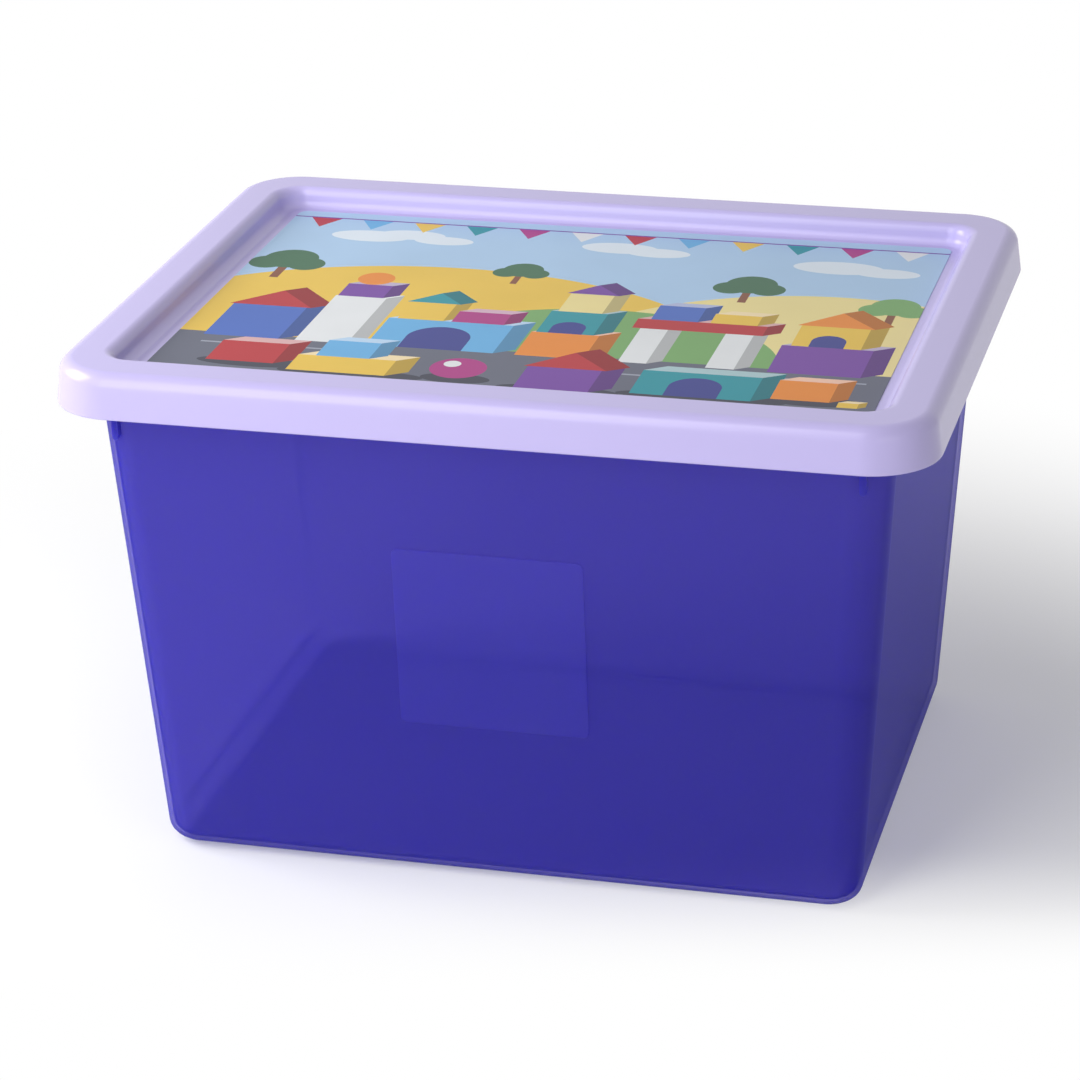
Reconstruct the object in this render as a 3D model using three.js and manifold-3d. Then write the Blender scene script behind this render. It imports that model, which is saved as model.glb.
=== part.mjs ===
// A building block storage box: a tapered see-through tub with a turned-down rim, a clip-on lid
// whose top is sunk between raised edges so that another box can stand in it, and a printed label.
// Millimetres, +Z up. The origin is in the middle of the base, on the surface the box stands on.
// The long side lies along X, and the front, which has the square panel, faces -Y.
import * as THREE from "three";
import { mergeVertices } from "three/addons/utils/BufferGeometryUtils.js";
import Module from "manifold-3d";

// Overall sizes, with the lid on
const boxLength = 400; // along X, at the lower edge of the lid's skirt
const boxWidth = 310; // along Y, at the same edge
const boxHeight = 246.25;

// Lid
const lidWall = 2.2;
const lidCorner = 31.8; // plan radius at the skirt's lower edge
const skirtHeight = 20.5;
const skirtFlare = 1.75; // each side is this much narrower at the top of the skirt
const rimFillet = 6.7; // outer top edge
const recessDepth = 10;
const recessCorner = 15;
const recessFloorCorner = 9;
const recessLean = 12; // degrees from upright
const recessTopFilletShare = 0.55; // of the recess depth
const recessFootFilletShare = 0.45; // of the recess depth
const sideSlopeShare = 0.68; // how far the long sides' slope runs in, of the short ends' run

// Tub
const tubWall = 2.2;
const endOverhang = 18.5; // of the skirt's lower edge, past the mouth's outer face, at the short ends
const sideOverhang = 14.05; // the same along the long sides
const baseCorner = 13.4;
const mouthCorner = 20;
const endDraft = 3.82; // degrees
const sideDraft = 4.12; // degrees
const baseFillet = 11;
const footWidth = 12; // flat ring that the box stands on
const baseLift = 1.6; // the middle of the base stands this much higher
const cornerTighteningShare = 0.5; // of how far a level is drawn in
const rimBend = 4; // outer radius where the wall turns out and where the lip turns down
const lipHeight = 14.5; // from the top of the rim to the lip's lower edge

// Fits between the pieces
const seatGap = 0.3; // lid on the tub's rim
const lipClearance = 1; // tub's lip inside the lid's skirt
const endRecessClearance = 2.5; // lid's recess inside the tub's mouth, at the short ends
const sideRecessClearance = 7.7; // the same along the long sides
const lugClearance = 0.35; // lid's lugs round and under the tub's lip

// Square panel on the front wall
const panelSize = 88;
const panelCorner = 3;
const panelRaise = 0.8;
const panelHeightShare = 0.5; // its middle, of the box height

// Stop ribs near the ends of the front and rear walls, which keep nested tubs from jamming
const ribWidth = 3.2;
const ribDepth = 3;
const ribReach = 14.2; // how far they show below the skirt
const ribCornerInset = 13; // from the end wall's outer face, at the mouth

// Lugs inside the skirt, under the tub's lip
const lugLength = 42;
const lugHeight = 2.6;
const lugTip = 0.8;
const sideLugSpacing = 180;

// Label in the lid's recess
const labelEndMargin = 3.8; // from the flat floor's edge, at the short ends
const labelSideMargin = 3.1; // the same along the long sides
const labelCorner = 5;
const labelThickness = 0.3;

// Fineness of the round surfaces
const cornerSteps = 10;
const filletSteps = 4;

// Directions in a cross-section, in degrees from +X towards +Z
const outward = 0;
const up = 90;
const inward = 180;
const down = -90;

const radians = THREE.MathUtils.degToRad;
const lerp = THREE.MathUtils.lerp;
const rimTop = boxHeight - lidWall - seatGap;
const skirtBottom = boxHeight - skirtHeight;
const recessFloor = boxHeight - recessDepth;

const wasm = await Module();
wasm.setup();

// Solids

// One level of a rounded rectangle that a wall follows. outX and outZ point out of the plastic there.
function station(halfX, halfY, corner, z, outX, outZ) {
  return { halfX, halfY, corner, z, outX, outZ };
}

// The same level moved in through the wall to the other face of the plastic.
function throughWall({ halfX, halfY, corner, z, outX, outZ }, wall) {
  const inset = outX * wall;
  return station(halfX - inset, halfY - inset, corner - inset, z - outZ * wall, -outX, -outZ);
}

function outline({ halfX, halfY, corner, z }) {
  const points = [];
  const corners = [[1, 1], [-1, 1], [-1, -1], [1, -1]];
  corners.forEach(([sideX, sideY], index) => {
    const start = index * Math.PI / 2;
    const arc = new THREE.EllipseCurve(
      sideX * (halfX - corner), sideY * (halfY - corner), corner, corner, start, start + Math.PI / 2);
    for (const point of arc.getPoints(cornerSteps)) points.push(new THREE.Vector3(point.x, point.y, z));
  });
  return points;
}

// A closed skin through all levels, capped flat at the first, which faces up, and the last.
function loft(levels) {
  const rings = levels.map(outline);
  const count = rings[0].length;
  const faces = [];
  for (let ring = 0; ring < rings.length - 1; ring++) {
    for (let k = 0; k < count; k++) {
      const here = ring * count + k;
      const next = ring * count + (k + 1) % count;
      faces.push(here, here + count, next + count, here, next + count, next);
    }
  }
  const last = (rings.length - 1) * count;
  for (let k = 1; k < count - 1; k++) {
    faces.push(0, k, k + 1);
    faces.push(last, last + k + 1, last + k);
  }
  const geometry = new THREE.BufferGeometry().setFromPoints(rings.flat());
  geometry.setIndex(faces);
  return geometry;
}

function toSolid(geometry) {
  const bare = geometry.clone();
  bare.deleteAttribute("normal");
  bare.deleteAttribute("uv");
  const merged = mergeVertices(bare);
  return new wasm.Manifold(new wasm.Mesh({
    numProp: 3,
    vertProperties: new Float32Array(merged.attributes.position.array),
    triVerts: new Uint32Array(merged.index.array),
  }));
}

function toGeometry(solid) {
  const { vertProperties, triVerts } = solid.getMesh();
  const geometry = new THREE.BufferGeometry();
  geometry.setAttribute("position", new THREE.BufferAttribute(vertProperties, 3));
  geometry.setIndex(new THREE.BufferAttribute(triVerts, 1));
  const flat = geometry.toNonIndexed();
  flat.computeVertexNormals();
  return flat;
}

function joined(body, additions) {
  return toGeometry(additions.reduce((solid, piece) => solid.add(toSolid(piece)), toSolid(body)));
}

// The directions that a fillet's surface faces, from one to another.
function fillet(from, to) {
  const angles = [];
  for (let k = 0; k <= filletSteps; k++) angles.push(radians(lerp(from, to, k / filletSteps)));
  return angles;
}

// A rounded lower edge that joins the outer face of a wall to its inner face.
function roundedEdge(level, wall) {
  const radius = wall / 2;
  return fillet(outward, -inward).slice(1, -1).map((angle) => {
    const inset = radius - radius * Math.cos(angle);
    const z = level.z + radius * Math.sin(angle);
    return station(level.halfX - inset, level.halfY - inset, level.corner - inset, z, 1, 0);
  });
}

// Lid

// A level of the recess, by how far down its slope it lies (0 at the rim, 1 on the floor).
function recessLevel(runShare, z, outX, outZ) {
  const halfX = boxLength / 2 - endRimWidth - recessRun * runShare;
  const halfY = boxWidth / 2 - sideRimWidth - recessRun * sideSlopeShare * runShare;
  return station(halfX, halfY, lerp(recessCorner, recessFloorCorner, runShare), z, outX, outZ);
}

const topFillet = recessDepth * recessTopFilletShare;
const footFillet = recessDepth * recessFootFilletShare;
const lean = radians(recessLean);
const straightDrop = recessDepth - (topFillet + footFillet) * (1 - Math.sin(lean));
const recessRun = (topFillet + footFillet) * Math.cos(lean) + straightDrop * Math.tan(lean);
const wallsBetween = tubWall + lidWall;
const endRimWidth = endOverhang + wallsBetween + endRecessClearance - topFillet * Math.cos(lean);
const sideRimWidth =
  sideOverhang + wallsBetween + sideRecessClearance - topFillet * Math.cos(lean) * sideSlopeShare;

function recessLevels() {
  const foot = fillet(up, inward - recessLean).map((angle) => recessLevel(
    1 + footFillet * Math.cos(angle) / recessRun,
    recessFloor + footFillet - footFillet * Math.sin(angle), Math.cos(angle), Math.sin(angle)));
  const top = fillet(inward - recessLean, up).map((angle) => recessLevel(
    -topFillet * Math.cos(angle) / recessRun,
    boxHeight - topFillet + topFillet * Math.sin(angle), Math.cos(angle), Math.sin(angle)));
  return [...foot, ...top];
}

// A level of the skirt and of the fillet above it, by its inset from the skirt's lower edge.
function skirtLevel(inset, z, outX, outZ) {
  return station(boxLength / 2 - inset, boxWidth / 2 - inset, lidCorner - inset, z, outX, outZ);
}

function lidTopLevels() {
  const rim = fillet(up, outward).map((angle) => skirtLevel(
    skirtFlare + rimFillet - rimFillet * Math.cos(angle),
    boxHeight - rimFillet + rimFillet * Math.sin(angle), Math.cos(angle), Math.sin(angle)));
  return [...recessLevels(), ...rim, skirtLevel(0, skirtBottom + lidWall / 2, 1, 0)];
}

// A wedge along the inside of the skirt, its thick end level with its top face.
function lug() {
  const skirtInside = skirtFlare * lugHeight / skirtHeight + lidWall;
  const reach = skirtFlare + lidWall + lipClearance - lugClearance;
  const section = new THREE.Shape([
    new THREE.Vector2(lidWall / 2, 0),
    new THREE.Vector2(skirtInside, 0),
    new THREE.Vector2(reach, lugHeight - lugTip),
    new THREE.Vector2(reach, lugHeight),
    new THREE.Vector2(lidWall / 2, lugHeight),
  ]);
  const geometry = new THREE.ExtrudeGeometry(section, { depth: lugLength, bevelEnabled: false });
  geometry.translate(0, 0, -lugLength / 2);
  return geometry.rotateX(Math.PI / 2);
}

function lugAt(side, along, turn) {
  const top = rimTop - lipHeight - lugClearance;
  return lug().translate(-side, -along, top - lugHeight).rotateZ(turn);
}

function lugs() {
  const list = [];
  for (const turn of [0, Math.PI]) {
    list.push(lugAt(boxLength / 2, 0, turn));
    for (const along of [-sideLugSpacing / 2, sideLugSpacing / 2]) {
      list.push(lugAt(boxWidth / 2, along, turn + Math.PI / 2));
    }
  }
  return list;
}

function lidGeometry() {
  const top = lidTopLevels();
  const edge = roundedEdge(top.at(-1), lidWall);
  const underside = top.map((level) => throughWall(level, lidWall)).reverse();
  return joined(loft([...top, ...edge, ...underside]), lugs());
}

// Tub

const meanDraft = (endDraft + sideDraft) / 2;

// The outer wall at a height. An inset draws the level in, and its plan corners tighten with it.
function wallLevel(z, inset, outX, outZ) {
  return station(
    boxLength / 2 - endOverhang - (rimTop - z) * Math.tan(radians(endDraft)) - inset,
    boxWidth / 2 - sideOverhang - (rimTop - z) * Math.tan(radians(sideDraft)) - inset,
    lerp(baseCorner, mouthCorner, z / rimTop) - inset * cornerTighteningShare, z, outX, outZ);
}

// The flat bottom and the round edge up to the wall, from the middle outwards.
function baseLevels() {
  const draft = radians(meanDraft);
  const centreInset = baseFillet * (1 - Math.sin(draft)) / Math.cos(draft);
  const edge = fillet(down, outward - meanDraft).map((angle) => {
    const z = baseFillet + baseFillet * Math.sin(angle);
    const inset = centreInset + z * Math.tan(draft) - baseFillet * Math.cos(angle);
    return wallLevel(z, inset, Math.cos(angle), Math.sin(angle));
  });
  const footInset = centreInset + footWidth;
  const middle = wallLevel(0, footInset + baseLift, 0, -1);
  middle.z = baseLift;
  return [middle, wallLevel(0, footInset, 0, -1), ...edge];
}

// The rim's lip stands inside the lid's skirt.
function lipLevel(inset, z, outX, outZ) {
  return skirtLevel(skirtFlare + lidWall + lipClearance + inset, z, outX, outZ);
}

// The upper and outer face of the rim, from the mouth's inner face to the lip's lower edge.
function rimLevels() {
  const mouth = fillet(inward, up).map((angle) => {
    const z = rimTop - rimBend + rimBend * Math.sin(angle);
    const inset = tubWall - rimBend - rimBend * Math.cos(angle);
    const level = wallLevel(rimTop - rimBend, inset, Math.cos(angle), Math.sin(angle));
    level.z = z;
    return level;
  });
  const lip = fillet(up, outward).map((angle) => lipLevel(
    rimBend - rimBend * Math.cos(angle),
    rimTop - rimBend + rimBend * Math.sin(angle), Math.cos(angle), Math.sin(angle)));
  return [...mouth, ...lip, lipLevel(0, rimTop - lipHeight + tubWall / 2, 1, 0)];
}

// Turns a piece made flat, face up, onto the front wall's outer face at a place and height.
function onFrontWall(geometry, x, z) {
  const faceY = wallLevel(z, 0, 0, 0).halfY;
  return geometry.rotateX(Math.PI / 2 + radians(sideDraft)).translate(x, -faceY, z);
}

function frontPanel() {
  const level = (z) => station(panelSize / 2, panelSize / 2, panelCorner, z, 0, 1);
  return onFrontWall(loft([level(panelRaise), level(-tubWall / 2)]), 0, boxHeight * panelHeightShare);
}

// A rib with a round lower end, on the front wall or, turned, on the rear one.
function rib(side, turn) {
  const radius = ribWidth / 2;
  const lowEnd = skirtBottom - ribReach;
  const length = (rimTop - tubWall / 2 - lowEnd) / Math.cos(radians(sideDraft));
  const shape = new THREE.Shape();
  shape.moveTo(radius, length);
  shape.lineTo(-radius, length);
  shape.lineTo(-radius, radius);
  shape.absarc(0, radius, radius, Math.PI, Math.PI * 2);
  shape.closePath();
  const geometry = new THREE.ExtrudeGeometry(shape, {
    depth: ribDepth + tubWall / 2, bevelEnabled: false, curveSegments: filletSteps,
  });
  geometry.translate(0, 0, -tubWall / 2);
  const x = boxLength / 2 - endOverhang - ribCornerInset;
  return onFrontWall(geometry, side * x, lowEnd).rotateZ(turn);
}

function tubGeometry() {
  const base = baseLevels();
  const rim = rimLevels();
  const inside = base.map((level) => throughWall(level, tubWall));
  const rimUnderside = rim.map((level) => throughWall(level, tubWall)).reverse();
  const edge = roundedEdge(rim.at(-1), tubWall);
  const skin = loft([...inside, ...rim, ...edge, ...rimUnderside, ...base.toReversed()]);
  const ribs = [0, Math.PI].flatMap((turn) => [-1, 1].map((side) => rib(side, turn)));
  return joined(skin, [frontPanel(), ...ribs]);
}

// Label

function labelGeometry() {
  const floor = recessLevel(1, recessFloor, 0, 1);
  const level = (z) => station(
    floor.halfX - labelEndMargin, floor.halfY - labelSideMargin, labelCorner, z, 0, 1);
  return toGeometry(toSolid(loft([level(recessFloor + labelThickness), level(recessFloor)])));
}

// Materials and assembly

const tubPlastic = new THREE.MeshStandardMaterial({
  color: 0x4b43b4, roughness: 0.3, metalness: 0, transparent: true, opacity: 0.8,
});
const lidPlastic = new THREE.MeshStandardMaterial({ color: 0xc3b8ea, roughness: 0.35, metalness: 0 });
const printedFilm = new THREE.MeshStandardMaterial({ color: 0xe3d06a, roughness: 0.3, metalness: 0 });

function piece(name, geometry, material) {
  const mesh = new THREE.Mesh(geometry, material);
  mesh.name = name;
  return mesh;
}

const group = new THREE.Group();
group.add(
  piece("tub", tubGeometry(), tubPlastic),
  piece("lid", lidGeometry(), lidPlastic),
  piece("picture_label", labelGeometry(), printedFilm),
);

export default group;
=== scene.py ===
# Building block storage box: a see-through tub, a lavender lid and its printed label.
# Everything is in metres, +Z up. The front wall, with the square panel, faces -Y.
import math

import bmesh
import bpy
from mathutils import Euler, Matrix, Vector


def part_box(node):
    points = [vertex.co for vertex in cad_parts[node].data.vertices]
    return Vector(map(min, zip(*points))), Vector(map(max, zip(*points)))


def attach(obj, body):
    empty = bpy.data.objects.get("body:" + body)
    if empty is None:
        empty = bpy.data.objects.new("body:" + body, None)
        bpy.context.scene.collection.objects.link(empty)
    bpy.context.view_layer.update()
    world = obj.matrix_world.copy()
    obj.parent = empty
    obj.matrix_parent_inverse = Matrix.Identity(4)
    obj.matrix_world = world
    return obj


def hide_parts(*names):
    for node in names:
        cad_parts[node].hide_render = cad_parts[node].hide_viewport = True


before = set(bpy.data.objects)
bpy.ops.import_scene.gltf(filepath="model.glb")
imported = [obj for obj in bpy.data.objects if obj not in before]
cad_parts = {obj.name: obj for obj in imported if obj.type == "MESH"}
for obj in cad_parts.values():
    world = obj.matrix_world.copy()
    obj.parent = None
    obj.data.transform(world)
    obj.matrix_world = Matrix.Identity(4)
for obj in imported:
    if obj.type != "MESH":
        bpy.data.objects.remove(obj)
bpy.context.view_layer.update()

tubLow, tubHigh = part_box("tub")
lidLow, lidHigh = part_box("lid")
labelLow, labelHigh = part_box("picture_label")

# Camera

view = {
    "place": (0.40843, -1.57741, 0.80096),
    "turnedLeft": 14.92,  # degrees
    "tippedDown": 22.65,
    "rolled": -1.29,
    "focalLength": 122.86,  # millimetres
    "sensorWidth": 36,
    "shiftX": 0.00114,
    "shiftY": -0.0029,
    "seesAsFarAs": 50,
}


def addCamera():
    bpy.ops.object.camera_add(location=view["place"])
    camera = bpy.context.object
    camera.name = "camera"
    turn = Matrix.Rotation(math.radians(view["turnedLeft"]), 3, "Z")
    tip = Matrix.Rotation(math.radians(90 - view["tippedDown"]), 3, "X")
    roll = Matrix.Rotation(math.radians(view["rolled"]), 3, "Z")
    camera.rotation_euler = (turn @ tip @ roll).to_euler()
    camera.data.sensor_width = view["sensorWidth"]
    camera.data.lens = view["focalLength"]
    camera.data.shift_x = view["shiftX"]
    camera.data.shift_y = view["shiftY"]
    camera.data.clip_end = view["seesAsFarAs"]
    bpy.context.scene.camera = camera


addCamera()
print("camera placed")

# Shaping tools. A ring is one level of a rounded box: half its length, half its width, its
# corner's radius and its height.

edgeMake = {
    "steps": 3,  # across a rounded edge
    "sharperThan": 60,  # degrees, the edges that are rounded
    "smoothBelow": 35,  # degrees, the edges that are shaded smooth
    "flatFacesLead": 90,  # how far a large face outweighs a small one in the shading
}


def atHeight(ring, z):
    return ring[:3] + (z,)


def selectSteps(piece, *steps):
    # while a skin is made, its rings stand a metre apart, so a height names a ring
    bpy.ops.mesh.select_all(action="DESELECT")
    mesh = bmesh.from_edit_mesh(piece.data)
    for vert in mesh.verts:
        vert.select = round(vert.co.z) in steps
    mesh.select_flush(True)
    bmesh.update_edit_mesh(piece.data)


def roundedOutline(ring, height, cornerSteps):
    # a new plane, drawn out to the ring's size, with its corners bevelled round
    halfX, halfY, corner = ring[:3]
    bpy.ops.transform.resize(value=(halfX, halfY, 1), center_override=(0, 0, 0))
    bpy.ops.transform.translate(value=(0, 0, height))
    bpy.ops.mesh.bevel(affect="VERTICES", offset=corner, segments=cornerSteps, profile=0.5)
    bpy.ops.mesh.delete(type="ONLY_FACE")


def loftSkin(name, rings, cornerSteps, closedSteps):
    bpy.ops.object.select_all(action="DESELECT")
    bpy.ops.mesh.primitive_plane_add(size=2)
    piece = bpy.context.object
    piece.name = name
    bpy.ops.object.mode_set(mode="EDIT")
    bpy.ops.mesh.select_mode(type="VERT")
    roundedOutline(rings[0], 1, cornerSteps)
    for step, ring in enumerate(rings[1:], 2):
        bpy.ops.mesh.primitive_plane_add(size=2)
        roundedOutline(ring, step, cornerSteps)
        selectSteps(piece, step - 1, step)
        bpy.ops.mesh.bridge_edge_loops()
    for step in closedSteps:
        selectSteps(piece, step)
        bpy.ops.mesh.edge_face_add()
    for step, ring in enumerate(rings, 1):
        selectSteps(piece, step)
        bpy.ops.transform.translate(value=(0, 0, ring[3] - step))
    bpy.ops.mesh.select_all(action="SELECT")
    bpy.ops.mesh.normals_make_consistent(inside=False)
    bpy.ops.object.mode_set(mode="OBJECT")
    return piece


def makeActive(piece):
    bpy.ops.object.select_all(action="DESELECT")
    piece.select_set(True)
    bpy.context.view_layer.objects.active = piece


def faceWay(piece, lookFor, wanted):
    # turns the skin over if the face nearest to a place looks the wrong way
    nearest = min(piece.data.polygons, key=lambda face: (face.center - Vector(lookFor)).length)
    if nearest.normal.dot(Vector(wanted)) < 0:
        makeActive(piece)
        bpy.ops.object.mode_set(mode="EDIT")
        bpy.ops.mesh.select_all(action="SELECT")
        bpy.ops.mesh.flip_normals()
        bpy.ops.object.mode_set(mode="OBJECT")


def applyModifier(piece, kind, **settings):
    makeActive(piece)
    bpy.ops.object.modifier_add(type=kind)
    modifier = piece.modifiers[-1]
    for name, value in settings.items():
        setattr(modifier, name, value)
    bpy.ops.object.modifier_apply(modifier=modifier.name)


def thicken(piece, wall):
    applyModifier(piece, "SOLIDIFY", thickness=wall, offset=-1, use_even_offset=True,
                  use_quality_normals=True)


def roundEdges(piece, width, steps=edgeMake["steps"]):
    applyModifier(piece, "BEVEL", width=width, segments=steps, limit_method="ANGLE",
                  angle_limit=math.radians(edgeMake["sharperThan"]), harden_normals=False)


def fuse(piece, additions):
    for extra in additions:
        applyModifier(piece, "BOOLEAN", operation="UNION", object=extra, solver="EXACT")
        bpy.data.objects.remove(extra)


def finishShading(piece):
    makeActive(piece)
    bpy.ops.object.shade_smooth_by_angle(angle=math.radians(edgeMake["smoothBelow"]))
    applyModifier(piece, "WEIGHTED_NORMAL", keep_sharp=True, weight=edgeMake["flatFacesLead"])


def arc(start, end, steps):
    # the directions that a fillet faces, in degrees from outwards towards up
    angles = [math.radians(start + (end - start) * step / steps) for step in range(steps + 1)]
    return [(math.cos(angle), math.sin(angle)) for angle in angles]


def mixed(first, last, share):
    return first + (last - first) * share


# Tub

tubMake = {
    "wall": 0.0022,
    "endOverhang": 0.0185,  # of the lid's lower edge past the mouth's outer face, at the ends
    "sideOverhang": 0.01405,  # the same along the long sides
    "baseCorner": 0.0134,
    "mouthCorner": 0.020,
    "endDraft": 3.82,  # degrees
    "sideDraft": 4.12,
    "baseFillet": 0.011,
    "footWidth": 0.012,
    "baseLift": 0.0016,
    "cornerTightening": 0.5,  # of how far a ring is drawn in
    "rimBend": 0.004,
    "lipHeight": 0.0145,
    "lipEdge": 0.0007,
    "cornerSteps": 16,
    "filletSteps": 8,
}

panelMake = {
    "size": 0.088,
    "corner": 0.003,
    "raise": 0.0008,
    "edge": 0.00035,
    "middle": 0.123125,  # height
    "cornerSteps": 6,
}

ribMake = {
    "width": 0.0032,
    "depth": 0.003,
    "lowEnd": 0.21155,  # height of the round end
    "edge": 0.0012,
    "fromEnd": 0.013,  # from the end wall's outer face, at the mouth
    "endRoundness": 0.999,  # 1 would leave its bevelled corners no straight edge between them
    "cornerSteps": 8,
}


def wallRing(z, inset):
    # the outer wall at a height, drawn in by an inset
    make = tubMake
    drop = tubHigh.z - z
    tighter = inset * make["cornerTightening"]
    endRun = drop * math.tan(math.radians(make["endDraft"]))
    sideRun = drop * math.tan(math.radians(make["sideDraft"]))
    return (lidHigh.x - make["endOverhang"] - endRun - inset,
            lidHigh.y - make["sideOverhang"] - sideRun - inset,
            mixed(make["baseCorner"], make["mouthCorner"], z / tubHigh.z) - tighter, z)


def tubRings():
    make = tubMake
    draft = math.radians((make["endDraft"] + make["sideDraft"]) / 2)
    centreInset = make["baseFillet"] * (1 - math.sin(draft)) / math.cos(draft)
    footInset = centreInset + make["footWidth"]
    rings = [atHeight(wallRing(0, footInset + make["baseLift"]), make["baseLift"]),
             wallRing(0, footInset)]
    for out, up in arc(-90, -math.degrees(draft), make["filletSteps"]):
        z = make["baseFillet"] * (1 + up)
        rings.append(wallRing(z, centreInset + z * math.tan(draft) - make["baseFillet"] * out))

    bend = make["rimBend"]
    tight = bend - make["wall"]
    bendHeight = tubHigh.z - bend
    wallTop = wallRing(bendHeight, 0)
    for out, up in arc(180, 90, make["filletSteps"]):
        spread = tight * (1 + out)
        rings.append((wallTop[0] + spread, wallTop[1] + spread, wallTop[2] + spread,
                      bendHeight + tight * up))
    for out, up in arc(90, 0, make["filletSteps"]):
        inset = bend - tight * out
        rings.append((tubHigh.x - inset, tubHigh.y - inset, lipCorner() - inset,
                      bendHeight + tight * up))
    rings.append(atHeight(rings[-1], tubHigh.z - make["lipHeight"]))
    return rings


def lipCorner():
    return lidMake["corner"] - (lidHigh.x - tubHigh.x)


def onFrontWall(piece, x, z):
    # stands a piece made face up against the front wall's outer face
    faceY = wallRing(z, 0)[1]
    lean = Matrix.Rotation(math.radians(90 + tubMake["sideDraft"]), 4, "X")
    piece.data.transform(Matrix.Translation((x, -faceY, z)) @ lean)


def frontPanel():
    make = panelMake
    half = make["size"] / 2
    top = (half, half, make["corner"], make["raise"])
    buried = atHeight(top, -tubMake["wall"] / 2)
    panel = loftSkin("front_panel", [buried, top], make["cornerSteps"], (1, 2))
    roundEdges(panel, make["edge"])
    onFrontWall(panel, 0, make["middle"])
    return panel


def stopRib(side, rear):
    make = ribMake
    half = make["width"] / 2
    rise = tubHigh.z - tubMake["wall"] / 2 - make["lowEnd"]
    length = rise / math.cos(math.radians(tubMake["sideDraft"]))
    top = (half, length / 2, half * make["endRoundness"], make["depth"])
    buried = atHeight(top, -tubMake["wall"] / 2)
    rib = loftSkin("stop_rib", [buried, top], make["cornerSteps"], (1, 2))
    roundEdges(rib, make["edge"])
    rib.data.transform(Matrix.Translation((0, length / 2, 0)))
    x = lidHigh.x - tubMake["endOverhang"] - make["fromEnd"]
    onFrontWall(rib, side * x, make["lowEnd"])
    if rear:
        rib.data.transform(Matrix.Rotation(math.pi, 4, "Z"))
    return rib


# Lid

lidMake = {
    "wall": 0.0022,
    "corner": 0.0318,
    "skirtFlare": 0.00175,
    "rimFillet": 0.0067,
    "lowerEdge": 0.0008,
    "recessDepth": 0.010,
    "recessCorner": 0.015,
    "floorCorner": 0.009,
    "recessLean": 12,  # degrees from upright
    "topFillet": 0.0055,
    "footFillet": 0.0045,
    "sideSlope": 0.68,  # run of the long sides' slope, of the ends' run
    "endRim": 0.02002,  # from the skirt's lower edge to the recess
    "sideRim": 0.02249,
    "cornerSteps": 16,
    "filletSteps": 8,
}

lugMake = {
    "length": 0.042,
    "height": 0.0026,
    "reach": 0.0046,  # from the skirt's outer face
    "lowerReach": 0.0002,  # from the skirt's inner face
    "top": 0.2289,
    "spacing": 0.180,  # along the long sides
}


def recessRing(share, z):
    # from the recess's upper edge, at share 0, to the edge of its floor, at share 1
    make = lidMake
    return (lidHigh.x - make["endRim"] - recessRun() * share,
            lidHigh.y - make["sideRim"] - recessRun() * make["sideSlope"] * share,
            mixed(make["recessCorner"], make["floorCorner"], share), z)


def recessRun():
    make = lidMake
    lean = math.radians(make["recessLean"])
    rounds = make["topFillet"] + make["footFillet"]
    straightDrop = make["recessDepth"] - rounds * (1 - math.sin(lean))
    return rounds * math.cos(lean) + straightDrop * math.tan(lean)


def skirtRing(inset, z):
    return (lidHigh.x - inset, lidHigh.y - inset, lidMake["corner"] - inset, z)


def lidRings():
    make = lidMake
    run = recessRun()
    floor = lidHigh.z - make["recessDepth"]
    rings = []
    for out, up in arc(90, 180 - make["recessLean"], make["filletSteps"]):
        rings.append(recessRing(1 + make["footFillet"] * out / run,
                                floor + make["footFillet"] * (1 - up)))
    for out, up in arc(180 - make["recessLean"], 90, make["filletSteps"]):
        rings.append(recessRing(-make["topFillet"] * out / run,
                                lidHigh.z - make["topFillet"] * (1 - up)))
    for out, up in arc(90, 0, make["filletSteps"]):
        rings.append(skirtRing(make["skirtFlare"] + make["rimFillet"] * (1 - out),
                               lidHigh.z - make["rimFillet"] * (1 - up)))
    rings.append(skirtRing(0, lidLow.z))
    return rings


def lug(halfSpan, along, turn):
    # a wedge inside the skirt, thick end up, with its root in the skirt's wall
    make = lugMake
    root = lidMake["wall"] / 2
    bpy.ops.object.select_all(action="DESELECT")
    bpy.ops.mesh.primitive_cube_add(size=1)
    piece = bpy.context.object
    piece.name = "lug"
    depth = make["reach"] - root
    middleX, middleZ = -root - depth / 2, make["top"] - make["height"] / 2
    piece.data.transform(Matrix.Translation((middleX, 0, middleZ))
                         @ Matrix.Diagonal((depth, make["length"], make["height"], 1)))
    bpy.ops.object.mode_set(mode="EDIT")
    mesh = bmesh.from_edit_mesh(piece.data)
    for vert in mesh.verts:
        vert.select = vert.co.x < middleX and vert.co.z < middleZ
    mesh.select_flush(True)
    bmesh.update_edit_mesh(piece.data)
    drawnIn = make["reach"] - lidMake["wall"] - make["lowerReach"]
    bpy.ops.transform.translate(value=(drawnIn, 0, 0))
    bpy.ops.object.mode_set(mode="OBJECT")
    piece.data.transform(Matrix.Rotation(turn, 4, "Z") @ Matrix.Translation((halfSpan, along, 0)))
    return piece


def lugs():
    pieces = []
    for turn in (0, math.pi):
        pieces.append(lug(lidHigh.x, 0, turn))
        for along in (-lugMake["spacing"] / 2, lugMake["spacing"] / 2):
            pieces.append(lug(lidHigh.y, along, turn + math.pi / 2))
    return pieces


# Making the pieces


def makeTub():
    tub = loftSkin("see_through_tub", tubRings(), tubMake["cornerSteps"], (1,))
    faceWay(tub, (0, 0, 0), (0, 0, -1))
    thicken(tub, tubMake["wall"])
    roundEdges(tub, tubMake["lipEdge"])
    ribs = [stopRib(side, rear) for side in (-1, 1) for rear in (False, True)]
    fuse(tub, [frontPanel()] + ribs)
    finishShading(tub)
    return tub


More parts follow.
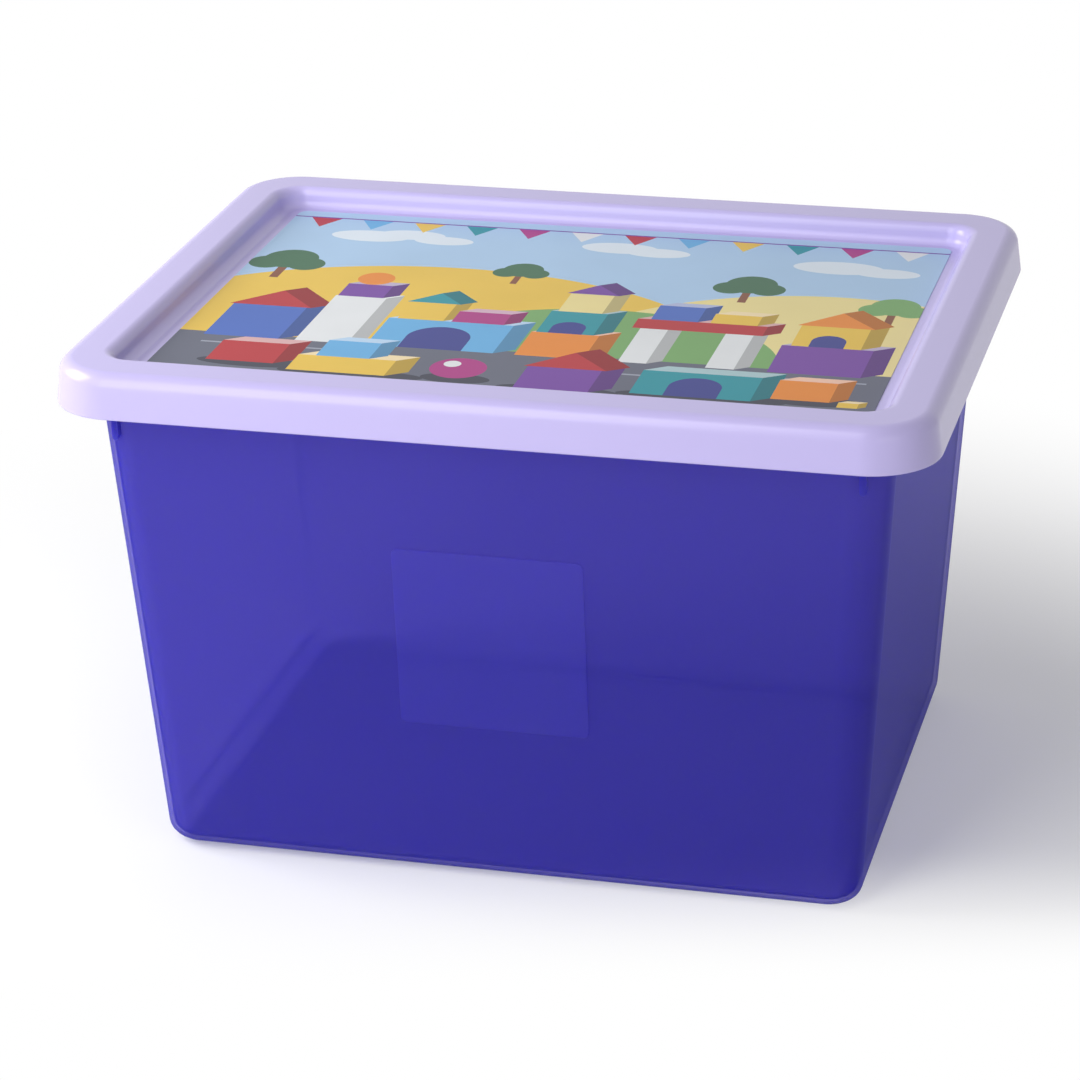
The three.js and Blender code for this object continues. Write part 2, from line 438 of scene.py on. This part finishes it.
def makeLid():
    lid = loftSkin("clip_on_lid", lidRings(), lidMake["cornerSteps"], (1,))
    faceWay(lid, (0, 0, lidHigh.z), (0, 0, 1))
    thicken(lid, lidMake["wall"])
    roundEdges(lid, lidMake["lowerEdge"])
    fuse(lid, lugs())
    finishShading(lid)
    return lid


labelMake = {
    "corner": 0.005,
    "cornerSteps": 8,
    "edge": 0.0001,
    "edgeSteps": 2,
    "offCentre": (0.0011, -0.0008, 0),
}


def makeLabel():
    low = (labelHigh.x, labelHigh.y, labelMake["corner"], labelLow.z)
    high = atHeight(low, labelHigh.z)
    label = loftSkin("printed_label", [low, high], labelMake["cornerSteps"], (1, 2))
    roundEdges(label, labelMake["edge"], labelMake["edgeSteps"])
    label.data.transform(Matrix.Translation(labelMake["offCentre"]))
    finishShading(label)
    return label


tub = makeTub()
print("tub made:", len(tub.data.polygons), "faces")
lid = makeLid()
print("lid made:", len(lid.data.polygons), "faces")
label = makeLabel()
print("label made:", len(label.data.polygons), "faces")

# Finishes


def newMaterial(name):
    material = bpy.data.materials.new(name)
    material.use_nodes = True
    return material, material.node_tree, material.node_tree.nodes["Principled BSDF"]


def addNode(tree, kind, **settings):
    node = tree.nodes.new(kind)
    for name, value in settings.items():
        setattr(node, name, value)
    return node


def setInputs(node, values):
    for name, value in values.items():
        node.inputs[name].default_value = value


def objectPlace(tree):
    return addNode(tree, "ShaderNodeTexCoord").outputs["Object"]


def addGrain(tree, shader, grain):
    noise = addNode(tree, "ShaderNodeTexNoise")
    setInputs(noise, {"Scale": grain["scale"], "Detail": grain["detail"]})
    bump = addNode(tree, "ShaderNodeBump")
    setInputs(bump, {"Strength": grain["strength"], "Distance": grain["depth"]})
    tree.links.new(objectPlace(tree), noise.inputs["Vector"])
    tree.links.new(noise.outputs["Fac"], bump.inputs["Height"])
    tree.links.new(bump.outputs["Normal"], shader.inputs["Normal"])


tubFinish = {
    "colour": (0.11, 0.103, 0.70, 1),
    "roughness": 0.36,
    "gloss": 0.12,
    "glow": 1,  # share of the plastic that light travels in
    "glowDepth": 0.009,  # how far, in metres
    "glowShare": (0.25, 0.2, 1),  # of that depth, for red, green and blue
    "clearness": 0.75,  # of each of the wall's two faces, seen straight
    "panelClearness": 0.68,
    "ribClearness": 0.6,
    "tint": (0.595, 0.56, 0.815, 1),  # of what shows through a face
    "edgeClearness": 0.55,  # seen along the wall
    "edgeTint": (0.4, 0.38, 0.65, 1),
    "edgeStarts": 0.8,  # 0 is seen straight, 1 is seen along the wall
    "cornerTint": (0.15, 0.14, 0.45, 1),  # at the round corners, where light goes further
    "cornerStarts": 0.45,
    "grain": {"scale": 300, "detail": 3, "strength": 0.05, "depth": 0.0005},
}


def tubPlastic(name, clearness, zone="edge"):
    finish = tubFinish
    material, tree, shader = newMaterial(name)
    setInputs(shader, {
        "Base Color": finish["colour"],
        "Roughness": finish["roughness"],
        "Specular IOR Level": finish["gloss"],
        "Subsurface Weight": finish["glow"],
        "Subsurface Radius": finish["glowShare"],
        "Subsurface Scale": finish["glowDepth"],
    })
    addGrain(tree, shader, finish["grain"])
    clear = addNode(tree, "ShaderNodeBsdfTransparent")
    facing = addNode(tree, "ShaderNodeLayerWeight")
    along = addNode(tree, "ShaderNodeMapRange")
    setInputs(along, {"From Min": finish[zone + "Starts"]})
    denser = addNode(tree, "ShaderNodeMapRange")
    setInputs(denser, {"To Min": clearness, "To Max": finish["edgeClearness"]})
    deeper = addNode(tree, "ShaderNodeMixRGB")
    setInputs(deeper, {"Color1": finish["tint"], "Color2": finish[zone + "Tint"]})
    mix = addNode(tree, "ShaderNodeMixShader")
    tree.links.new(facing.outputs["Facing"], along.inputs["Value"])
    tree.links.new(along.outputs["Result"], denser.inputs["Value"])
    tree.links.new(along.outputs["Result"], deeper.inputs["Fac"])
    tree.links.new(deeper.outputs["Color"], clear.inputs["Color"])
    tree.links.new(denser.outputs["Result"], mix.inputs["Fac"])
    tree.links.new(shader.outputs[0], mix.inputs[1])
    tree.links.new(clear.outputs[0], mix.inputs[2])
    tree.links.new(mix.outputs[0], tree.nodes["Material Output"].inputs["Surface"])
    return material


lidFinish = {
    "colour": (0.52, 0.462, 0.80, 1),
    "roughness": 0.26,
    "gloss": 0.58,
    "grain": {"scale": 900, "detail": 3, "strength": 0.05, "depth": 0.0003},
}


def lidPlastic():
    material, tree, shader = newMaterial("lavender_plastic")
    setInputs(shader, {
        "Base Color": lidFinish["colour"],
        "Roughness": lidFinish["roughness"],
        "Specular IOR Level": lidFinish["gloss"],
    })
    addGrain(tree, shader, lidFinish["grain"])
    return material


# The label's picture: toy blocks between low hills. The dictionary named drawing says where each
# shape lies, in millimetres from the label's middle.

inks = {
    "sky": (0.42, 0.60, 0.82),
    "cloud": (0.72, 0.80, 0.88),
    "yellow": (0.80, 0.54, 0.09),
    "cream": (0.82, 0.70, 0.32),
    "orange": (0.80, 0.27, 0.05),
    "red": (0.48, 0.04, 0.05),
    "magenta": (0.42, 0.05, 0.24),
    "purple": (0.19, 0.07, 0.36),
    "navy": (0.05, 0.06, 0.27),
    "blue": (0.08, 0.16, 0.52),
    "bright blue": (0.15, 0.43, 0.74),
    "teal": (0.03, 0.30, 0.36),
    "leaf": (0.06, 0.16, 0.09),
    "grass": (0.20, 0.40, 0.15),
    "bark": (0.24, 0.09, 0.05),
    "white": (0.76, 0.78, 0.80),
    "grey": (0.14, 0.15, 0.20),
    "dark grey": (0.06, 0.063, 0.09),
    "pale grey": (0.34, 0.36, 0.44),
}

pictureMake = {
    "unit": 0.001,  # metres
    "depthRight": 0.5,  # how a block's depth is drawn
    "depthUp": 0.35,
    "roofRise": 1.1,  # of half of a roof's width
    "eaves": 2,
    "footSharpness": 1000,  # cuts a roof off at its foot
    "lighter": 0.4,  # share of white in a block's top
    "darker": 0.6,  # a block's side, of its front
    "cloudFlatness": 0.42,
    "trunk": 0.2,  # its width, as a share of the tree's size, as the next four are
    "crown": 0.62,
    "crownHeight": 1.3,
    "sideCrown": 0.42,
    "sideCrownOut": 0.45,
    "shadowHeight": 6,
    "streakWidth": 1.6,
    "roughness": 0.25,
    "gloss": 0.06,
    "unevenness": 0.07,  # of the ink's strength, from patch to patch
    "patchScale": 18,
    "grain": {"scale": 700, "detail": 3, "strength": 0.03, "depth": 0.0002},
}

drawing = {
    # x, y, half width
    "clouds": ((-118, 88, 20), (-98, 93, 17), (-80, 87, 15), (8, 92, 19), (28, 88, 16),
               (118, 82, 22), (142, 78, 16)),
    # x, y, half width, ink, half height
    "hills": ((-60, -64, 150, "yellow", 112), (128, -64, 118, "cream", 104),
              (28, -64, 88, "grass", 66)),
    # x, y, size, ink
    "trees": ((-146, 18, 22, "leaf"), (-30, 30, 16, "leaf"), (82, 24, 20, "leaf"),
              (154, 6, 19, "grass")),
    # left, low, width, height, ink
    "pennantLine": (-170, 112, 340, 1.4, "purple"),
    "ground": (-170, -125, 340, 63, "grey"),
    "pennants": {"first": -148, "apart": 27, "half": 8, "drop": 14, "rounds": 2,
                 "inks": ("red", "bright blue", "yellow", "teal", "magenta", "white")},
    # left, low, length
    "streaks": ((-150, -76, 60), (-60, -112, 84), (26, -82, 52), (70, -117, 70), (118, -74, 40),
                (-158, -110, 34)),
    # left, low, width, height, depth, ink, roof's ink, arch's radius
    "farBlocks": ((-152, -66, 36, 44, 18, "blue", "red"),
                  (-108, -66, 25, 64, 15, "white"),
                  (-107, -2, 22, 18, 14, "purple"),
                  (-74, -66, 60, 38, 18, "bright blue", None, 15),
                  (-70, -28, 22, 24, 14, "yellow", "teal"),
                  (-44, -28, 25, 15, 14, "magenta"),
                  (-4, -66, 32, 32, 18, "orange"),
                  (-2, -34, 27, 30, 16, "teal", None, 8),
                  (1, -4, 21, 26, 14, "cream", "purple"),
                  (44, -66, 13, 46, 13, "white"),
                  (84, -66, 13, 46, 13, "white"),
                  (40, -20, 61, 13, 15, "red"),
                  (46, -7, 22, 20, 14, "blue"),
                  (74, -7, 22, 13, 14, "yellow"),
                  (112, -66, 42, 36, 18, "purple"),
                  (116, -30, 32, 28, 16, "yellow", "orange", 8)),
    "farBalls": ((-96, 25, 9, "orange"),),
    "shadows": ((-118, -98, 26), (-70, -104, 34), (-22, -101, 16), (26, -107, 28),
                (90, -104, 38), (138, -99, 24)),
    "nearBlocks": ((-140, -98, 32, 26, 17, "red"),
                   (-100, -104, 46, 20, 19, "yellow"),
                   (-92, -84, 25, 21, 15, "bright blue"),
                   (6, -107, 34, 28, 19, "purple", "red"),
                   (58, -104, 54, 30, 19, "teal", None, 12),
                   (120, -99, 26, 24, 15, "orange"),
                   (-160, -118, 9, 6, 7, "teal"),
                   (-38, -118, 9, 6, 7, "cream"),
                   (-8, -119, 9, 6, 7, "red"),
                   (48, -119, 9, 6, 7, "bright blue"),
                   (118, -118, 9, 6, 7, "white"),
                   (150, -104, 9, 6, 7, "yellow")),
    "nearBalls": ((-24, -88, 13, "magenta"), (-28, -83, 4, "white")),
}


def inkColour(name, white=0, strength=1):
    return tuple(mixed(value * strength, 1, white) for value in inks[name]) + (1,)


def slants():
    # for each slanted face, the two rows that stand it upright
    right, up, rise = pictureMake["depthRight"], pictureMake["depthUp"], pictureMake["roofRise"]
    turned = up + right * rise
    return {
        "flat": ((1, 0), (0, 1)),
        "top": ((1, -right / up), (0, 1)),
        "side": ((1, 0), (-up / right, 1)),
        "slope": ((-up / turned, right / turned), (rise / turned, 1 / turned)),
    }


def patch(kind, x, y, halfWidth, halfHeight, colour, slant="flat"):
    # a shape around its middle, half of its width and height given in the slanted directions
    rowX, rowY = slants()[slant]
    middle = (rowX[0] * x + rowX[1] * y, rowY[0] * x + rowY[1] * y)
    return kind, slant, middle, (halfWidth, halfHeight), colour


def box(left, low, width, height, ink):
    return [patch("box", left + width / 2, low + height / 2, width / 2, height / 2,
                  inkColour(ink))]


def disc(x, y, halfWidth, ink, halfHeight=None):
    return [patch("disc", x, y, halfWidth, halfHeight or halfWidth, inkColour(ink))]


def block(left, low, width, height, depth, ink, roof=None, arch=0):
    # a block's side, its top or roof, and its front
    make = pictureMake
    right, up = depth * make["depthRight"], depth * make["depthUp"]
    middleX, middleY, top = left + width / 2, low + height / 2, low + height
    made = [patch("box", left + width + right / 2, middleY + up / 2, right / 2, height / 2,
                  inkColour(ink, 0, make["darker"]), "side")]
    if roof:
        half = width / 2 + make["eaves"]
        rise = half * make["roofRise"]
        made += [patch("box", middleX + (half + right) / 2, top + (rise + up) / 2,
                       half / 2, depth / 2, inkColour(roof, 0, make["darker"]), "slope"),
                 patch("roof", middleX, top, half, rise, inkColour(roof))]
    else:
        made.append(patch("box", middleX + right / 2, top + up / 2, width / 2, up / 2,
                          inkColour(ink, make["lighter"]), "top"))
    made += box(left, low, width, height, ink)
    if arch:
        made += box(middleX - arch, low, arch * 2, arch, "navy")
        made += disc(middleX, low + arch, arch, "navy")
    return made


def leafyTree(x, low, size, ink):
    make = pictureMake
    trunk, out = size * make["trunk"], size * make["sideCrownOut"]
    return (box(x - trunk / 2, low, trunk, size, "bark")
            + disc(x, low + size * make["crownHeight"], size * make["crown"], ink)
            + disc(x - out, low + size, size * make["sideCrown"], ink)
            + disc(x + out, low + size, size * make["sideCrown"], ink))


def pennants():
    make = drawing["pennants"]
    drawn = box(*drawing["pennantLine"])
    for step, ink in enumerate(make["inks"] * make["rounds"]):
        drawn.append(patch("roof", make["first"] + step * make["apart"], drawing["pennantLine"][1],
                           make["half"], -make["drop"], inkColour(ink)))
    return drawn


def picture():
    # from the back to the front
    drawn = []
    for x, y, half in drawing["clouds"]:
        drawn += disc(x, y, half, "cloud", half * pictureMake["cloudFlatness"])
    for hill in drawing["hills"]:
        drawn += disc(*hill)
    for plant in drawing["trees"]:
        drawn += leafyTree(*plant)
    drawn += pennants() + box(*drawing["ground"])
    for left, low, length in drawing["streaks"]:
        drawn += box(left, low, length, pictureMake["streakWidth"], "pale grey")
    for sizes in drawing["farBlocks"]:
        drawn += block(*sizes)
    for ball in drawing["farBalls"]:
        drawn += disc(*ball)
    for x, y, half in drawing["shadows"]:
        drawn += disc(x, y, half, "dark grey", pictureMake["shadowHeight"])
    for sizes in drawing["nearBlocks"]:
        drawn += block(*sizes)
    for ball in drawing["nearBalls"]:
        drawn += disc(*ball)
    return drawn


def fillInputs(tree, node, values):
    # the node's sockets in turn, each linked or set
    for socket, value in zip(node.inputs, values):
        if isinstance(value, bpy.types.NodeSocket):
            tree.links.new(value, socket)
        else:
            socket.default_value = value


def shapeGroup(kind):
    # lays an ink over the colour below, inside a shape that reaches from -1 to 1, a roof from 0 up
    group = bpy.data.node_groups.new("printed_" + kind, "ShaderNodeTree")
    for name, sort in (("Place", "Vector"), ("Scale", "Vector"), ("Shift", "Vector"),
                       ("Below", "Color"), ("Ink", "Color")):
        group.interface.new_socket(name=name, in_out="INPUT", socket_type="NodeSocket" + sort)
    group.interface.new_socket(name="Colour", in_out="OUTPUT", socket_type="NodeSocketColor")
    given, result = addNode(group, "NodeGroupInput"), addNode(group, "NodeGroupOutput")

    def figure(operation, *values, node="Math"):
        worked = addNode(group, "ShaderNode" + node, operation=operation)
        fillInputs(group, worked, values)
        return worked.outputs["Value"]

    local = addNode(group, "ShaderNodeVectorMath", operation="MULTIPLY_ADD")
    fillInputs(group, local, (given.outputs["Place"], given.outputs["Scale"],
                              given.outputs["Shift"]))
    place = local.outputs["Vector"]
    if kind == "disc":
        reach = figure("LENGTH", place, node="VectorMath")
    else:
        across = figure("ABSOLUTE", figure("DOT_PRODUCT", place, (1, 0, 0), node="VectorMath"))
        height = figure("DOT_PRODUCT", place, (0, 1, 0), node="VectorMath")
        if kind == "box":
            reach = figure("MAXIMUM", across, figure("ABSOLUTE", height))
        else:
            underFoot = figure("MULTIPLY", height, -pictureMake["footSharpness"])
            reach = figure("MAXIMUM", figure("ADD", across, height), underFoot)
    laid = addNode(group, "ShaderNodeMixRGB")
    fillInputs(group, laid, (figure("LESS_THAN", reach, 1), given.outputs["Below"],
                             given.outputs["Ink"]))
    group.links.new(laid.outputs["Color"], result.inputs["Colour"])
    return group


def uprightPlace(tree, place, rows):
    # the place in the picture's units, with a slanted face's two directions made upright
    unit = pictureMake["unit"]
    joined = addNode(tree, "ShaderNodeCombineXYZ")
    for axis, row in zip("XY", rows):
        along = addNode(tree, "ShaderNodeVectorMath", operation="DOT_PRODUCT")
        along.inputs[1].default_value = (row[0] / unit, row[1] / unit, 0)
        tree.links.new(place, along.inputs[0])
        tree.links.new(along.outputs["Value"], joined.inputs[axis])
    return joined.outputs[0]


def printedFilm():
    make = pictureMake
    material, tree, shader = newMaterial("printed_film")
    setInputs(shader, {"Roughness": make["roughness"], "Specular IOR Level": make["gloss"]})
    addGrain(tree, shader, make["grain"])
    place = objectPlace(tree)
    places = {slant: uprightPlace(tree, place, rows) for slant, rows in slants().items()}
    groups = {kind: shapeGroup(kind) for kind in ("box", "disc", "roof")}
    colour = None
    for kind, slant, middle, half, ink in picture():
        shape = addNode(tree, "ShaderNodeGroup", node_tree=groups[kind])
        setInputs(shape, {
            "Scale": (1 / half[0], 1 / half[1], 0),
            "Shift": (-middle[0] / half[0], -middle[1] / half[1], 0),
            "Ink": ink,
        })
        tree.links.new(places[slant], shape.inputs["Place"])
        if colour is None:
            shape.inputs["Below"].default_value = inkColour("sky")
        else:
            tree.links.new(colour, shape.inputs["Below"])
        colour = shape.outputs["Colour"]
    patches = addNode(tree, "ShaderNodeTexNoise")
    setInputs(patches, {"Scale": make["patchScale"]})
    strength = addNode(tree, "ShaderNodeMapRange")
    setInputs(strength, {"To Min": 1 - make["unevenness"], "To Max": 1 + make["unevenness"]})
    uneven = addNode(tree, "ShaderNodeVectorMath", operation="SCALE")
    tree.links.new(place, patches.inputs["Vector"])
    tree.links.new(patches.outputs["Fac"], strength.inputs["Value"])
    tree.links.new(colour, uneven.inputs[0])
    tree.links.new(strength.outputs["Result"], uneven.inputs["Scale"])
    tree.links.new(uneven.outputs[0], shader.inputs["Base Color"])
    return material


# The tub's panel, ribs and round corners have plastics of their own

tubZones = {
    "proud": 0.0001,  # how far a face of the panel or a rib stands out of the wall
    "panelSpare": 0.0001,  # past the panel's edge
    "ribSpare": 0.001,  # under a rib's low end
    "lipSpare": 0.003,  # from the lip's outer face, where no rib is
}


def onPanel(face):
    half = panelMake["size"] / 2 + tubZones["panelSpare"]
    x, y, z = face.center
    return (abs(x) < half and abs(z - panelMake["middle"]) < half
            and y < -wallRing(z, 0)[1] - tubZones["proud"])


def onRib(face):
    y, z = abs(face.center.y), face.center.z
    return (ribMake["lowEnd"] - tubZones["ribSpare"] < z < tubHigh.z - tubMake["rimBend"]
            and wallRing(z, 0)[1] + tubZones["proud"] < y < tubHigh.y - tubZones["lipSpare"])


def onCorner(face):
    # the upright corners and the round edge at the foot
    x, y, z = abs(face.center.x), abs(face.center.y), face.center.z
    halfX, halfY, corner, z = wallRing(z, 0)
    fillet = tubMake["baseFillet"]
    if z < fillet:
        return x > halfX - fillet or y > halfY - fillet
    return x > halfX - corner and y > halfY - corner


def dress(piece, *materials):
    piece.data.materials.clear()
    for material in materials:
        piece.data.materials.append(material)


dress(tub, tubPlastic("blue_violet_plastic", tubFinish["clearness"]),
      tubPlastic("blue_violet_panel", tubFinish["panelClearness"]),
      tubPlastic("blue_violet_rib", tubFinish["ribClearness"]),
      tubPlastic("blue_violet_corner", tubFinish["clearness"], "corner"))
for face in tub.data.polygons:
    face.material_index = 1 if onPanel(face) else 2 if onRib(face) else 3 if onCorner(face) else 0
dress(lid, lidPlastic())
dress(label, printedFilm())
print("finishes set")

# Riding and replacing

for piece, body, node, slot in (
    (tub, "tub_body", "tub", "tub_plastic"),
    (lid, "lid_body", "lid", "lid_plastic"),
    (label, "lid_body", "picture_label", "printed_film"),
):
    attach(piece, body)
    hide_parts(node)

# Studio

studio = {
    "floorSize": 12,
    "floorGap": 0.0003,  # under the foot, so that the two don't flicker into each other
    "floorColour": (0.95, 0.95, 0.96, 1),
    "liftNear": 0.24,  # share of plain white that the camera sees in the floor, by the object
    "liftFar": 1,
    "nearEnds": 0.25,  # metres from the middle
    "farStarts": 0.58,
    "frontWay": (0.25, -0.97, 0),  # in front of the box the floor turns white sooner
    "frontNearEnds": 0.09,  # metres that way
    "frontFarStarts": 0.22,
    "surroundColour": (1, 1, 1, 1),
    "surround": 0.34,  # strength of the light from all round, which the camera sees as white
    "lamps": {  # azimuth from the front to the right and elevation in degrees, then metres
        "key": {"azimuth": -80, "elevation": 28, "away": 1.1, "wide": 0.6, "tall": 0.6,
                "power": 9},
        "front": {"azimuth": -19, "elevation": 31, "away": 1.3, "wide": 0.6, "tall": 1.4,
                  "power": 8.8},
        "low": {"azimuth": 42, "elevation": 16, "away": 1.6, "wide": 0.8, "tall": 0.8,
                "power": 1.5},
    },
    "aimAt": (0, 0, 0.14),
}


def seenWhite(tree):
    # 1 for rays from the camera, and for those that a surface mirrors or lets through
    path = addNode(tree, "ShaderNodeLightPath")
    first = addNode(tree, "ShaderNodeMath", operation="MAXIMUM")
    both = addNode(tree, "ShaderNodeMath", operation="MAXIMUM")
    tree.links.new(path.outputs["Is Camera Ray"], first.inputs[0])
    tree.links.new(path.outputs["Is Glossy Ray"], first.inputs[1])
    tree.links.new(first.outputs[0], both.inputs[0])
    tree.links.new(path.outputs["Is Transmission Ray"], both.inputs[1])
    return both.outputs[0]


def addWorld():
    world = bpy.data.worlds.new("studio")
    bpy.context.scene.world = world
    world.use_nodes = True
    tree = world.node_tree
    background = tree.nodes["Background"]
    setInputs(background, {"Color": studio["surroundColour"]})
    strength = addNode(tree, "ShaderNodeMapRange")
    setInputs(strength, {"To Min": studio["surround"], "To Max": 1})
    tree.links.new(seenWhite(tree), strength.inputs["Value"])
    tree.links.new(strength.outputs["Result"], background.inputs["Strength"])


def addFloor():
    bpy.ops.object.select_all(action="DESELECT")
    bpy.ops.mesh.primitive_plane_add(size=studio["floorSize"])
    floor = bpy.context.object
    floor.name = "floor"
    floor.location.z = -studio["floorGap"]
    material, tree, shader = newMaterial("white_paper")
    tree.nodes.remove(shader)
    paper = addNode(tree, "ShaderNodeBsdfDiffuse")
    setInputs(paper, {"Color": studio["floorColour"]})
    glow = addNode(tree, "ShaderNodeEmission")
    away = addNode(tree, "ShaderNodeVectorMath", operation="LENGTH")
    forward = addNode(tree, "ShaderNodeVectorMath", operation="DOT_PRODUCT")
    forward.inputs[1].default_value = studio["frontWay"]
    whitest = addNode(tree, "ShaderNodeMath", operation="MAXIMUM")
    for distance, near, far, socket in (
        (away, "nearEnds", "farStarts", whitest.inputs[0]),
        (forward, "frontNearEnds", "frontFarStarts", whitest.inputs[1]),
    ):
        whiter = addNode(tree, "ShaderNodeMapRange", interpolation_type="SMOOTHSTEP")
        setInputs(whiter, {"From Min": studio[near], "From Max": studio[far],
                           "To Min": studio["liftNear"], "To Max": studio["liftFar"]})
        tree.links.new(objectPlace(tree), distance.inputs[0])
        tree.links.new(distance.outputs["Value"], whiter.inputs["Value"])
        tree.links.new(whiter.outputs["Result"], socket)
    lift = addNode(tree, "ShaderNodeMath", operation="MULTIPLY")
    mix = addNode(tree, "ShaderNodeMixShader")
    tree.links.new(seenWhite(tree), lift.inputs[0])
    tree.links.new(whitest.outputs[0], lift.inputs[1])
    tree.links.new(lift.outputs[0], mix.inputs["Fac"])
    tree.links.new(paper.outputs[0], mix.inputs[1])
    tree.links.new(glow.outputs[0], mix.inputs[2])
    tree.links.new(mix.outputs[0], tree.nodes["Material Output"].inputs["Surface"])
    floor.data.materials.append(material)


def addLamps():
    for name, lamp in studio["lamps"].items():
        towards = Vector((0, -1, 0))
        towards.rotate(Euler((-math.radians(lamp["elevation"]), 0, math.radians(lamp["azimuth"]))))
        place = Vector(studio["aimAt"]) + towards * lamp["away"]
        bpy.ops.object.light_add(type="AREA", location=place)
        light = bpy.context.object
        light.name = name + "_lamp"
        light.rotation_euler = (place - Vector(studio["aimAt"])).to_track_quat("Z", "Y").to_euler()
        light.data.shape = "RECTANGLE"
        light.data.size = lamp["wide"]
        light.data.size_y = lamp["tall"]
        light.data.energy = lamp["power"]


addWorld()
addFloor()
addLamps()
bpy.context.scene.view_settings.view_transform = "Standard"
print("studio lit")
